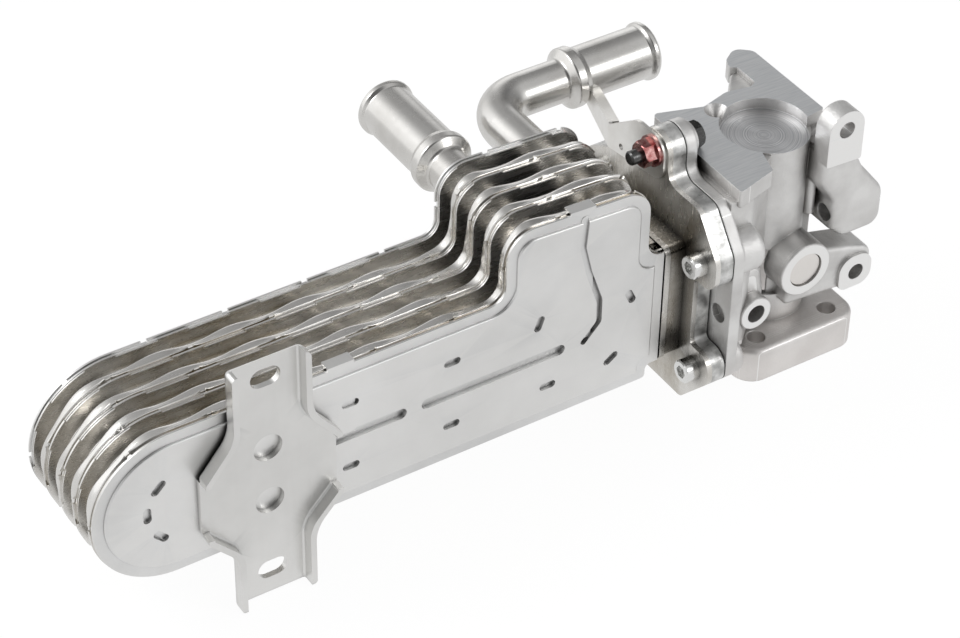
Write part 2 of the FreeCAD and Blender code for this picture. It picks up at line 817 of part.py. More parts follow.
divider = box(gas_end_x, gasket_x, front_y + header_sheet, back_face_y - header_sheet,
              body_middle_z - divider_sheet / 2, body_middle_z + divider_sheet / 2)
save("header_divider", divider)
save("flange_gasket", flange_layer(gasket_x, flange_gasket_sheet))
save("flange_plate", flange_layer(plate_x, flange_plate_sheet))
save("housing_gasket", flange_layer(housing_gasket_x, housing_gasket_sheet))

# Pipe stay: bent strap with one folded edge, clamped under the nut and welded to the elbow.

stay_face_x = flange_x - stay_sheet
stay_low_z = port_z - stay_below_port
stay_high_z = port_z + stay_above_port
stay_shoulder = stay_eye_r / 2
stay_near = [
    (stud_y - stay_eye_r, stud_z + stay_eye_r, stay_eye_r - 0.1),
    (stud_y - stay_eye_r, stud_z - stay_eye_r - stay_shoulder, stay_eye_r - 0.1),
    (stay_bend_y, stay_low_z, 0), (stay_bend_y, stay_high_z, 0),
    (stud_y + stay_eye_r + stay_shoulder, stud_z + stay_eye_r, stay_eye_r),
]
near = slab(stay_near, on_x(stay_face_x), V(stay_sheet, 0, 0))
near = near.cut(rod(m6_clearance_r, V(stay_face_x, stud_y, stud_z), stay_sheet, V(1, 0, 0)))
hinge = V(flange_x + stay_bend_r, stay_bend_y, 0)
seat = box(stay_face_x, flange_x, stay_bend_y, stay_bend_y + 1, stay_low_z, stay_high_z)
seat_face = [f for f in seat.Faces if abs(f.CenterOfMass.y - stay_bend_y) < 1e-6][0]
bend = seat_face.revolve(hinge, V(0, 0, 1), -stay_turn)
far_y = elbow_run_y - stay_end_gap
far_low_z = stay_low_z - stay_drop
far_high_z = stay_high_z - stay_drop - stay_taper
arm_points = [(stay_bend_y, stay_low_z, 0), (far_y, far_low_z, 0),
              (far_y, far_high_z, 0), (stay_bend_y, stay_high_z, 0)]
lip_points = [(stay_bend_y, stay_high_z - stay_sheet, 0), (far_y, far_high_z - stay_sheet, 0),
              (far_y, far_high_z, 0), (stay_bend_y, stay_high_z, 0)]
arm = slab(arm_points, on_x(stay_face_x), V(stay_sheet, 0, 0))
arm = arm.fuse(slab(lip_points, on_x(stay_face_x), V(stay_sheet + stay_lip, 0, 0)))
arm.rotate(hinge, V(0, 0, 1), -stay_turn)
nozzle = rod(hose_outer_r, V(bend_x, elbow_run_y, port_z), elbow_straight + elbow_hose_length, V(1, 0, 0))
stay = joined([near, bend, arm]).cut(nozzle).cut(hose)
eyelet = V(stay_face_x, stay_bend_y - stay_hole_back, port_z + stay_hole_rise)
stay = stay.cut(rod(stay_hole_r, eyelet, stay_sheet, V(1, 0, 0)))
save("pipe_stay", stay)

# Fasteners: four socket screws through the flange, and a hexagon-headed stud with a flanged nut.

screw_axis = V(1, 0, 0)
screws = []
for y, z in bolt_places:
    shank = rod(m6_r, V(flange_x, y, z), m6_screw_length, screw_axis)
    head = rod(cap_head_r, V(flange_x - cap_head_height, y, z), cap_head_height, screw_axis)
    head = bevel_edges(head, 0.5, lambda p, e: abs(p.x - flange_x + cap_head_height) < 0.01)
    key = hexagon(hex_key_flat, y, z, flange_x - cap_head_height, hex_key_depth)
    screws.append(shank.fuse(head).cut(key).removeSplitter())
save("flange_screws", Part.makeCompound(screws))

stud_end_x = stay_face_x - nut_height - stud_front
stud_head_x = housing_x + casting_flange + stud_boss
stud = rod(m6_r, V(stud_end_x, stud_y, stud_z), stud_head_x - stud_end_x, screw_axis)
stud = bevel_edges(stud, 0.6, lambda p, e: abs(p.x - stud_end_x) < 0.01)
head = hexagon(nut_flat, stud_y, stud_z, stud_head_x, hex_head_height)
top_cone = Part.makeCone(nut_flat / 2 + hex_head_height, nut_flat / 2, hex_head_height,
                         V(stud_head_x, stud_y, stud_z), screw_axis)
save("top_stud", joined([stud, head.common(top_cone)]))

nut_x = stay_face_x - nut_height
nut = hexagon(nut_flat, stud_y, stud_z, nut_x, nut_height)
crown = Part.makeCone(nut_flat / 2, nut_flat / 2 + nut_height, nut_height,
                      V(nut_x, stud_y, stud_z), screw_axis)
washer = rod(nut_flange_r, V(stay_face_x - nut_flange_height, stud_y, stud_z), nut_flange_height, screw_axis)
nut = joined([nut.common(crown), washer]).cut(rod(m6_r, V(nut_x, stud_y, stud_z), nut_height, screw_axis))
save("flange_nut", nut)

# Cast housing: flange, gas duct, round chamber under a machined face, foot, ears and bosses.

duct_x = housing_x + casting_flange
duct_inner_x = duct_x - 1.0
duct_half_y = 29.5
top_left_x = duct_x + 1.8
top_right_x = 21.2
top_face = [
    (top_left_x, -31.5, 1.0), (-21.5, -26.2, 1.2), (-17.8, -13.6, 1.5),
    (pocket_x - 6.0, -7.0, 1.0), (pocket_x + 15.0, -5.0, 1.0), (top_right_x, -3.1, 1.0),
    (top_right_x, 44.5, 4.0), (15.0, 50.0, 4.5), (7.6, 45.0, 3.5), (5.6, 40.0, 1.2), (8.4, 38.0, 1.0),
    (8.4, 26.0, 1.6), (5.0, 24.4, 1.6), (-6.0, 26.5, 8.0), (-19.5, 22.8, 2.0), (top_left_x, 29.6, 2.0),
]
ledge_face = [(-9.0, 22.0, 2.0), (10.0, 22.0, 1.0), (10.0, 39.5, 1.0), (5.0, 38.5, 4.0)]
body_face = [
    (duct_inner_x, -duct_half_y, 0), (-32.5, -duct_half_y, 9.0), (-19.5, -17.0, 14.0), (-8.0, -10.0, 4.0),
    (11.0, -8.0, 3.0), (20.0, -4.0, 5.0), (20.0, 22.0, 10.0), (6.0, 27.0, 8.0), (-20.0, 25.0, 8.0),
    (-30.0, duct_half_y, 6.0), (duct_inner_x, duct_half_y, 0),
]
lower_duct_face = [
    (duct_inner_x, 22.5, 0), (-22.0, 22.5, 11.0), (-16.0, 40.0, 12.0), (-19.0, 57.5, 8.0),
    (duct_inner_x, 59.0, 0),
]


def boss_x(y, z, radius, length):
    """Screw boss behind the flange, with a rounded end."""
    boss = rod(radius, V(housing_x, y, z), casting_flange + length, V(1, 0, 0))
    end = housing_x + casting_flange + length
    return round_edges(boss, min(3.5, length / 2), lambda p, e: abs(p.x - end) < 0.01)


def boss_y(x, z, radius, face_y, depth, edge=0.8):
    """Boss that points at the front, with a machined face."""
    boss = rod(radius, V(x, face_y, z), depth, V(0, 1, 0))
    return round_edges(boss, edge, lambda p, e: abs(p.y - face_y) < 0.01)


flange = slab(flange_points(recessed=False), on_x(housing_x), V(casting_flange, 0, 0))
flange = round_edges(flange, flange_edge, lambda p, e: abs(p.x - duct_x) < 0.01)
top = slab(top_face, on_z(machined_z - top_plate), V(0, 0, top_plate))
ledge = slab(ledge_face, on_z(ledge_z - ledge_depth), V(0, 0, ledge_depth))
ledge = round_edges(ledge, 1.0, lambda p, e: abs(p.z - ledge_z) < 0.01)
body = slab(body_face, on_z(body_low_z), V(0, 0, machined_z - top_plate - body_low_z + 2))
wall = rod(wall_r, V(wall_x, wall_y, body_low_z), machined_z - pocket_depth - body_low_z, V(0, 0, 1))
wall_rib = rod(wall_rib_r, V(wall_rib_x, wall_rib_y, wall_rib_low_z),
               machined_z - top_plate - wall_rib_low_z, V(0, 0, 1))
neck = rod(neck_r, V(0, 0, foot_height / 2), body_low_z, V(0, 0, 1))
foot = slab([(foot_left_x, -foot_half_y, foot_corner), (foot_right_x, -foot_half_y, foot_corner),
             (foot_right_x, foot_half_y, foot_corner), (foot_left_x, foot_half_y, foot_corner)],
            on_z(0), V(0, 0, foot_height))
foot = round_edges(foot, foot_edge, lambda p, e: abs(p.z - foot_height) < 0.01)
lower_duct = slab(lower_duct_face, on_y(lower_duct_y), V(0, lower_duct_depth, 0))
lower_duct = round_edges(lower_duct, lower_duct_round,
                         lambda p, e: abs(p.y - lower_duct_y) < 0.01 and p.x > duct_x)
pieces = [flange, body, top, ledge, wall, wall_rib, neck, foot, lower_duct]

pieces += [boss_x(bolt_front_y, bolt_high_z, bolt_lug, upper_lug_boss),
           boss_x(bolt_front_y, bolt_low_z, small_lug_r, lower_lug_boss),
           boss_x(bolt_rear_y, bolt_high_z, small_lug_r, rear_lug_boss),
           boss_x(bolt_rear_y, bolt_low_z, small_lug_r, rear_lug_boss),
           boss_x(stud_y, stud_z, stud_boss_r, stud_boss)]
pieces += [boss_y(plug_x, plug_z, plug_boss_r, plug_face_y, plug_boss_depth),
           boss_y(bore_boss_x, bore_boss_z, bore_boss_r, bore_boss_y, bore_boss_depth)]

# Upper ear over a side arm, and a lower ear on a web

ear_left, ear_right = upper_ear_x - upper_ear_r, upper_ear_x + upper_ear_r
ear_top, ear_round = upper_ear_z + upper_ear_r, upper_ear_r - 0.1
ear = slab([(ear_left, ear_top, ear_round), (ear_left, upper_ear_low_z + upper_ear_slant, 1.0),
            (ear_right, upper_ear_low_z, 1.0), (ear_right, ear_top, ear_round)],
           on_y(upper_ear_y), V(0, upper_ear_thickness, 0))
arm_front_y = upper_ear_y + ear_step
side_arm = slab([(ear_left, upper_ear_low_z + 6.0, 2.0), (ear_right, upper_ear_low_z + 1.5, 3.0),
                 (arm_right_x - 12.0, upper_ear_low_z - 8.0, 10.0), (arm_right_x, arm_hole_z + 5.5, 8.0),
                 (arm_right_x, arm_bottom_z, 6.5), (arm_mouth_x + 7.0, arm_bottom_z, 6.0),
                 (arm_mouth_x, arm_hole_z - 6.0, 2.5), (arm_mouth_x, arm_hole_z + 8.0, 5.0),
                 (ear_left, arm_hole_z + 19.0, 8.0)], on_y(arm_front_y), V(0, arm_depth, 0))
side_arm = round_edges(side_arm, arm_edge,
                       lambda p, e: abs(p.y - arm_front_y) < 0.01 and p.z < upper_ear_low_z)
web_y = lower_ear_y + ear_step
lower_left, lower_right = lower_ear_x - lower_ear_r, lower_ear_x + lower_ear_r
lower_top, lower_bottom = lower_ear_z + lower_ear_r, lower_ear_z - lower_ear_r
web = slab([(plug_x, plug_z + 7.0, 2.0), (lower_ear_x - 2.0, lower_top + 4.5, 6.0),
            (lower_right, lower_top + 0.5, 6.0),
            (lower_right, lower_bottom, 7.0), (lower_left - 1.5, lower_bottom + 2.0, 4.0),
            (plug_x - 8.0, lower_bottom + 4.0, 2.0)], on_y(web_y), V(0, web_depth, 0))
web = round_edges(web, web_edge, lambda p, e: abs(p.y - web_y) < 0.01 and p.x > plug_x + 2)
lower_ear = slab([(lower_left, lower_top, 7.0), (lower_left, lower_bottom + 1.0, 4.0),
                  (lower_right - 0.5, lower_bottom + 1.0, 6.0), (lower_right - 0.5, lower_top, 7.0)],
                 on_y(lower_ear_y), V(0, lower_ear_thickness, 0))
pieces += [ear, side_arm, web, lower_ear]

# Rear gas port with its two-bolt pad

pad_y = rear_face_y - rear_pad_depth
pad_reach = rear_bolt_spacing / 2
pad_end_r = m8_r + rear_bolt_wall
bolt_ends = [rear_port_z - pad_reach, rear_port_z + pad_reach]
pieces.append(rod(rear_port_r + rear_port_wall, V(rear_port_x, pad_y, rear_port_z),
                  rear_pad_depth, V(0, 1, 0)))
pieces.append(box(rear_port_x - pad_end_r, rear_port_x + pad_end_r, pad_y, rear_face_y, *bolt_ends))
pieces += [rod(pad_end_r, V(rear_port_x, pad_y, z), rear_pad_depth, V(0, 1, 0)) for z in bolt_ends]
casting = joined(pieces)

# Bores, passages and threaded holes of the housing

duct_end_x = housing_x + duct_reach - 1.0
link_x = housing_x + upper_duct_reach - 1.0
web_bore = web_y + web_depth - lower_ear_y
cuts = [rod(pocket_r, V(pocket_x, 0, machined_z - pocket_depth), pocket_depth, V(0, 0, 1)),
        Part.makeCone(1.0, scallop_r, pocket_depth, V(scallop_x, scallop_y, machined_z - pocket_depth)),
        slab(lower_window, on_x(housing_x), V(duct_reach, 0, 0)),
        slab(upper_window, on_x(housing_x), V(upper_duct_reach, 0, 0)),
        box(duct_end_x, 0, -chamber_bore_r, chamber_bore_r, chamber_floor_z, lower_roof_z),
        rod(chamber_bore_r, V(0, 0, 0), lower_roof_z, V(0, 0, 1)),
        box(link_x, rear_port_x, link_low_y, link_high_y,
            rear_port_z - link_half_z, rear_port_z + link_half_z),
        rod(rear_port_r, V(rear_port_x, rear_face_y - rear_port_depth, rear_port_z),
            rear_port_depth, V(0, 1, 0)),
        rod(plug_r, V(plug_x, plug_face_y, plug_z), plug_sink + plug_thickness, V(0, 1, 0)),
        rod(plug_r - plug_seat, V(plug_x, plug_face_y, plug_z), -plug_face_y, V(0, 1, 0)),
        rod(bore_r, V(bore_boss_x, bore_boss_y, bore_boss_z), bore_depth, V(0, 1, 0)),
        rod(ear_hole_r, V(upper_ear_x, upper_ear_y, upper_ear_z), upper_ear_thickness, V(0, 1, 0)),
        rod(ear_hole_r, V(lower_ear_x, lower_ear_y, lower_ear_z), web_bore, V(0, 1, 0)),
        rod(m8_r, V(arm_mouth_x, arm_hole_y, arm_hole_z), arm_right_x - arm_mouth_x, V(1, 0, 0)),
        rod(bore_r, V(housing_x, drilling_y, body_middle_z - drilling_drop), drilling_depth, V(1, 0, 0))]
cuts += [rod(m6_r, V(housing_x, y, z), m6_screw_length, V(1, 0, 0)) for y, z in bolt_places]
cuts.append(rod(m6_r, V(housing_x, stud_y, stud_z), casting_flange + stud_boss, V(1, 0, 0)))
cuts += [rod(m8_r, V(x, y, 0), foot_height, V(0, 0, 1))
         for x in (-foot_bolt_x, foot_bolt_x) for y in (-foot_bolt_y, foot_bolt_y)]
cuts += [rod(m8_r, V(rear_port_x, rear_face_y - rear_bolt_depth, z), rear_bolt_depth, V(0, 1, 0))
         for z in bolt_ends]
for cut in cuts:
    casting = casting.cut(cut)
save("housing_casting", casting.removeSplitter())

plug = rod(plug_r, V(plug_x, plug_face_y + plug_sink, plug_z), plug_thickness, V(0, 1, 0))
plug = bevel_edges(plug, plug_edge, lambda p, e: abs(p.y - plug_face_y - plug_sink) < 0.01)
save("core_plug", plug)
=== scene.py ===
import math

import bmesh
import bpy
from mathutils import Matrix, Vector, noise


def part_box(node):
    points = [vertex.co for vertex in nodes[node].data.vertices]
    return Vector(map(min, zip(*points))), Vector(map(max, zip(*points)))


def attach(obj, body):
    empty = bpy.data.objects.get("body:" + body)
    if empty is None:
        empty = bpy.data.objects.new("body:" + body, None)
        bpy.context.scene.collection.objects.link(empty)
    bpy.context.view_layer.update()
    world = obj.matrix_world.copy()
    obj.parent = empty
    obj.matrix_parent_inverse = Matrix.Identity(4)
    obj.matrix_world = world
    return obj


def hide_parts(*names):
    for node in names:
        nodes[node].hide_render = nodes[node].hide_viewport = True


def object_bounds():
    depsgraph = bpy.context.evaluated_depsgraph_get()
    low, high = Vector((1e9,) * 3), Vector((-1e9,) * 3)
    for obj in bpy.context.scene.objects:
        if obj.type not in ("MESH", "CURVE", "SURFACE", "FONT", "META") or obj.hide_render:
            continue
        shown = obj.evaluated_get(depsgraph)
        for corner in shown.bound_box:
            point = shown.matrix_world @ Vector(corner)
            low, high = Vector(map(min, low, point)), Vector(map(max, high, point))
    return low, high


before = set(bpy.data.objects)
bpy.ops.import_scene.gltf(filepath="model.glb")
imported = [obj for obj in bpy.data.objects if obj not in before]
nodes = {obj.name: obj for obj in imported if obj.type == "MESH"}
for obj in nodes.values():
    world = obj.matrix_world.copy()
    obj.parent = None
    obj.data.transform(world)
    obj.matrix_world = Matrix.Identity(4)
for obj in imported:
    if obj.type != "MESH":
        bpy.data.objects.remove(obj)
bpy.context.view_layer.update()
scene = bpy.context.scene
mm = 0.001

# The view: a long lens from the front left and above, so the cover, the block's top and
# the housing's front all show. The place is where that lens sees the whole cooler.

lens = bpy.data.cameras.new("view")
lens.lens = 112.5
lens.sensor_width = 36
lens.clip_end = 20
view = bpy.data.objects.new("view", lens)
view_turn, view_tilt, view_roll = math.radians(-33.13), math.radians(50.46), math.radians(1.11)
view.matrix_world = (Matrix.Translation((-0.63409, -0.75659, 0.80872)) @ Matrix.Rotation(view_turn, 4, "Z")
                     @ Matrix.Rotation(view_tilt, 4, "X") @ Matrix.Rotation(view_roll, 4, "Z"))
scene.collection.objects.link(view)
scene.camera = view
scene.view_settings.view_transform = "Standard"

# The studio: a white floor just below the lowest edge of the bracket, a white world that
# only the lens sees at full strength, and two large soft lamps. The metal sees lighter and
# darker sides, each given by its direction, where it fades out, where it is full, and how
# much it adds.

floor_drop = 0.0006


def tree_of(owner):
    """An empty node tree with its output node."""
    owner.use_nodes = True
    tree = owner.node_tree
    tree.nodes.clear()
    kind = "ShaderNodeOutputWorld" if isinstance(owner, bpy.types.World) else "ShaderNodeOutputMaterial"
    return tree, tree.nodes.new(kind)


def put(tree, kind, links=None, **values):
    """A node with its settings, its inputs set by name or number, or linked from a socket."""
    node = tree.nodes.new(kind)
    for name, value in values.items():
        setattr(node, name, value)
    for name, value in (links or {}).items():
        if isinstance(value, bpy.types.NodeSocket):
            tree.links.new(value, node.inputs[name])
        else:
            node.inputs[name].default_value = value
    return node


world = bpy.data.worlds.new("studio")
scene.world = world
tree, out = tree_of(world)
rays = put(tree, "ShaderNodeLightPath").outputs
direction = put(tree, "ShaderNodeTexCoord").outputs["Generated"]
shine_level = 0.62
sides = (
    ((-0.80, 0.55, 0.10), 0.35, 0.95, 0.55),
    ((-0.35, -0.55, 0.75), 0.70, 0.97, -0.50),
    ((0.80, 0.30, 0.10), 0.55, 0.95, -0.35),
    ((0.25, 0.60, 0.75), 0.72, 0.97, -0.22),
    ((0.55, -0.80, 0.15), 0.75, 0.97, 0.30),
    ((0.50, 0.83, 0.20), 0.93, 0.99, 0.75),
)
level = shine_level
for aim, edge, core, change in sides:
    aim = Vector(aim).normalized()
    near = put(tree, "ShaderNodeVectorMath", {0: direction, 1: aim}, operation="DOT_PRODUCT").outputs["Value"]
    part = put(tree, "ShaderNodeMapRange", {0: near, 1: edge, 2: core, 3: 0.0, 4: change},
               interpolation_type="SMOOTHSTEP").outputs[0]
    level = put(tree, "ShaderNodeMath", {0: level, 1: part}, operation="ADD").outputs[0]
walls = put(tree, "ShaderNodeBackground", {0: (1, 1, 1, 1), 1: level})
soft = put(tree, "ShaderNodeBackground", {0: (1, 1, 1, 1), 1: 0.55})
white = put(tree, "ShaderNodeBackground", {0: (1, 1, 1, 1), 1: 1.0})
lit = put(tree, "ShaderNodeMixShader", {0: rays["Is Glossy Ray"], 1: soft.outputs[0], 2: walls.outputs[0]})
mixed = put(tree, "ShaderNodeMixShader", {0: rays["Is Camera Ray"], 1: lit.outputs[0], 2: white.outputs[0]})
tree.links.new(mixed.outputs[0], out.inputs["Surface"])

sheet = bpy.data.meshes.new("studio_floor")
reach = 3.0
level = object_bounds()[0][2] - floor_drop
corners = [(-reach, -reach, level), (reach, -reach, level), (reach, reach, level), (-reach, reach, level)]
sheet.from_pydata(corners, [], [(0, 1, 2, 3)])
floor = bpy.data.objects.new("studio_floor", sheet)
scene.collection.objects.link(floor)
paper = bpy.data.materials.new("studio_floor")
tree, out = tree_of(paper)
rays = put(tree, "ShaderNodeLightPath").outputs
matt = put(tree, "ShaderNodeBsdfDiffuse", {"Color": (0.85, 0.85, 0.85, 1)})
glow = put(tree, "ShaderNodeEmission", {"Color": (1, 1, 1, 1), "Strength": 1.05})
mirrored = put(tree, "ShaderNodeEmission", {"Color": (1, 1, 1, 1), "Strength": 0.8})
seen = put(tree, "ShaderNodeMixShader", {0: 0.9, 1: matt.outputs[0], 2: glow.outputs[0]})
shown = put(tree, "ShaderNodeMixShader", {0: rays["Is Glossy Ray"], 1: matt.outputs[0],
                                          2: mirrored.outputs[0]})
mixed = put(tree, "ShaderNodeMixShader", {0: rays["Is Camera Ray"], 1: shown.outputs[0], 2: seen.outputs[0]})
tree.links.new(mixed.outputs[0], out.inputs["Surface"])
sheet.materials.append(paper)


def softbox(name, place, aim, width, height, power):
    """A large soft lamp aimed at a point of the cooler."""
    data = bpy.data.lights.new(name, "AREA")
    data.shape = "RECTANGLE"
    data.size, data.size_y = width, height
    data.energy = power
    lamp = bpy.data.objects.new(name, data)
    lamp.location = place
    lamp.rotation_euler = (Vector(aim) - Vector(place)).to_track_quat("-Z", "Y").to_euler()
    scene.collection.objects.link(lamp)


middle = (-0.13, 0.01, 0.05)
softbox("key_lamp", (-1.1, 0.5, 1.1), middle, 0.7, 0.5, 6)
softbox("front_lamp", (0.7, -1.2, 0.9), middle, 0.5, 0.5, 3)

# Coolant plates: four flat stainless plates, one behind each tray, with short tabs that
# are bent over the rim. They are blanked from thin sheet and brazed in the furnace. They
# are lighter on convex edges, and painted shade makes them grey in the gaps, brown in
# patches, partly as furnace tint.

cloud_span, grain_span, edge_span, tint_span = (0.35, 0.68), (0.3, 0.7), (0.505, 0.56), (0.50, 0.62)
tint_patches = 22.0
# The light tone laid on convex edges.
edge_lift_tone = (0.9, 0.89, 0.87)


def patches(tree, place, scale, detail, roughness=0.5):
    """Noise from 0 to 1 with about so many patches along a metre."""
    return put(tree, "ShaderNodeTexNoise", {"Vector": place, "Scale": scale, "Detail": detail,
                                            "Roughness": roughness}).outputs["Fac"]


def ramp(tree, value, low, high, top=1.0):
    """From 0 to top while a value goes from low to high."""
    return put(tree, "ShaderNodeMapRange", {0: value, 1: low, 2: high, 3: 0.0, 4: top}).outputs[0]


def blend(tree, share, first, second):
    """A colour between two, each of them a socket or three numbers."""
    first, second = [tone if isinstance(tone, bpy.types.NodeSocket) else (*tone, 1)
                     for tone in (first, second)]
    return put(tree, "ShaderNodeMix", {0: share, 6: first, 7: second}, data_type="RGBA").outputs[2]


def finish(name, bright, dull, rough, grain, stretch=(1, 1, 1), cloud=18.0, bump=0.05, metallic=1.0,
           crevice_shade=None, crevice_shade_reach=4 * mm, shade_span=(0.25, 0.85), tint=None, grain_rough=0.12,
           edge_lift=0.0):
    """Metal with cloudy colour and a fine grain, lighter on convex edges, and with painted shade in crevices,
    tinted brown in patches where a tint is given.
    """
    material = bpy.data.materials.new(name)
    tree, out = tree_of(material)
    place = put(tree, "ShaderNodeTexCoord").outputs["Object"]
    tone = blend(tree, ramp(tree, patches(tree, place, cloud, 4.0, 0.6), *cloud_span), bright, dull)
    # Lighter along convex edges, by the mesh's pointiness.
    if edge_lift:
        convex = put(tree, "ShaderNodeNewGeometry").outputs["Pointiness"]
        tone = blend(tree, ramp(tree, convex, *edge_span, edge_lift), tone, edge_lift_tone)
    # Painted shade: the AO node darkens crevices, gaps and hollows toward the shade colour, tinted brown in
    # patches where a tint is given.
    if crevice_shade:
        shade = put(tree, "ShaderNodeAmbientOcclusion", {"Distance": crevice_shade_reach}, samples=8)
        deep = crevice_shade
        if tint:
            tinted = ramp(tree, patches(tree, place, tint_patches, 2.0), *tint_span)
            deep = blend(tree, tinted, crevice_shade, tint)
        tone = blend(tree, ramp(tree, shade.outputs["AO"], *shade_span), deep, tone)
    drawn = put(tree, "ShaderNodeMapping", {"Vector": place, "Scale": stretch}).outputs[0]
    fine = patches(tree, drawn, grain, 5.0, 0.65)
    even = put(tree, "ShaderNodeMapRange", {0: fine, 1: grain_span[0], 2: grain_span[1],
                                           3: rough - grain_rough, 4: rough + grain_rough})
    raised = put(tree, "ShaderNodeBump", {"Height": fine, "Strength": bump, "Distance": 0.5 * mm})
    shine = put(tree, "ShaderNodeBsdfPrincipled", {"Base Color": tone, "Metallic": metallic,
                                                   "Roughness": even.outputs[0],
                                                   "Normal": raised.outputs[0]})
    tree.links.new(shine.outputs[0], out.inputs["Surface"])
    return material


def dress(material, *names):
    """Give CAD nodes their finish."""
    for name in names:
        slots = nodes[name].data.materials
        slots.clear()
        slots.append(material)


cells = range(1, 5)
sheet_bright, sheet_dull = (0.84, 0.83, 0.81), (0.70, 0.685, 0.66)
# Painted shade: the AO node lays the grey below into the gaps, and the brown tints it in patches, partly as
# brown furnace tint and partly as painted shade.
gap_shade_grey, furnace_tint_and_shade = (0.62, 0.60, 0.56), (0.26, 0.21, 0.13)
blank_steel = finish("blank_steel", sheet_bright, sheet_dull, 0.27, 500.0, stretch=(0.12, 1, 1),
                     cloud=30.0, bump=0.03, crevice_shade=gap_shade_grey, tint=furnace_tint_and_shade, grain_rough=0.06,
                     edge_lift=0.5)
dress(blank_steel, *["coolant_plate_%d" % i for i in cells])

# Coolant trays: four trays drawn from the same sheet. Each has a thin lip round its rim,
# notched where the stack is pinched together, and a wall with a round shoulder that waves
# a little where the floor was pressed. Furnace brazing joins it to the plate behind.

gauge = 0.8 * mm
cell_depth = 12.25 * mm
tray_floor = 7.0 * mm
stack_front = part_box("coolant_plate_1")[0].y - cell_depth
stack_low, stack_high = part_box("coolant_tray_1")
rim_height = 68.8 * mm
gas_side_inset = 6.4 * mm
block_left, block_right = stack_high.x - 75.1 * mm, stack_high.x - 8.0 * mm
rim_top = stack_low.z + rim_height
rim_corners = [
    (stack_low.x, stack_low.z, rim_height / 2),
    (stack_low.x, rim_top, rim_height / 2),
    (block_left, rim_top, 6.5 * mm),
    (block_left, rim_top + 30.9 * mm, 13.0 * mm),
    (block_right, rim_top + 28.1 * mm, 12.0 * mm),
    (block_right, rim_top - gas_side_inset, 7.0 * mm),
    (stack_high.x, rim_top - gas_side_inset, 0.0),
    (stack_high.x, stack_low.z + gas_side_inset, 0.0),
    (stack_high.x - 6.0 * mm, stack_low.z + gas_side_inset, 2.4 * mm),
    (stack_high.x - 6.0 * mm, stack_low.z, 3.0 * mm),
]
rim_step = 1.5 * mm
notch_pitch, notch_shift, notch_half, notch_side, notch_depth = (34.6 * mm, 4.0 * mm, 1.1 * mm, 0.15 * mm,
                                                                 1.2 * mm)
pinch_rise, pinch_reach = 0.55 * mm, 2.4 * mm
wave_pitch, wave_out, wave_back, wave_lag = 31.5 * mm, 0.42 * mm, 0.50 * mm, 0.5
wobble, lip_ripples, wave_ripples, depth_ripples = 0.16 * mm, 45, 40, 30
wall, seam, shoulder, inner_turn = 1.0 * mm, 0.7 * mm, 1.7 * mm, 0.9 * mm
lip_front, lip_back, lip_round = 1.9 * mm, 2.7 * mm, 0.12 * mm
shoulder_steps = 6
port_inner, port_outer = 8.0 * mm, 9.0 * mm


def rim_runs(corners):
    """The rim as straight runs, rounded corners and mitres: (length, place at a distance along it)."""
    runs = []
    count = len(corners)
    ends = []
    for i, (x, z, radius) in enumerate(corners):
        here = Vector((x, z))
        back = (Vector(corners[i - 1][:2]) - here).normalized()
        ahead = (Vector(corners[(i + 1) % count][:2]) - here).normalized()
        half = back.angle(ahead) / 2
        ends.append((here, back, ahead, half, radius / math.tan(half), radius))
    for i, (here, back, ahead, half, reach, radius) in enumerate(ends):
        if radius:
            outward = (back + ahead).normalized()
            centre = here + outward * radius / math.sin(half)
            turn = -1 if back.x * ahead.y - back.y * ahead.x > 0 else 1
            first = here + back * reach - centre
            sweep = turn * (math.pi - 2 * half)
            runs.append((abs(sweep) * radius, ("arc", centre, first, sweep, turn)))
        else:
            before, after = Vector((-back.y, back.x)), Vector((ahead.y, -ahead.x))
            mitre = (before + after) / (1 + before.dot(after))
            runs.append((0.0, ("mitre", here, mitre, 0, 0)))
        following = ends[(i + 1) % count]
        start, stop = here + ahead * reach, following[0] + following[1] * following[4]
        runs.append(((stop - start).length, ("straight", start, ahead, 0, 0)))
    return runs


def rim_place(run, along):
    """A point of one run and the direction into the stack there."""
    length, (kind, origin, way, sweep, turn) = run
    if kind == "mitre":
        return origin, way
    if kind == "straight":
        return origin + way * along, Vector((way.y, -way.x))
    angle = sweep * along / length
    arm = Vector((way.x * math.cos(angle) - way.y * math.sin(angle),
                  way.x * math.sin(angle) + way.y * math.cos(angle)))
    return origin + arm, arm.normalized() * turn


def rim_stations(marks):
    """Places along the whole rim: (point, inward, distance), closer together at each notch."""
    stations = []
    travelled = 0.0
    for run in rim_runs(rim_corners):
        length = run[0]
        count = max(1, round(length / rim_step))
        stops = [length * i / count for i in range(count)] if length else [0.0]
        for mark in marks:
            for side in (-notch_half - notch_side, -notch_half, notch_half, notch_half + notch_side):
                if travelled < mark + side < travelled + length:
                    stops.append(mark + side - travelled)
        for along in sorted(stops):
            point, inward = rim_place(run, along)
            stations.append((point, inward, travelled + along))
        travelled += length
    return stations


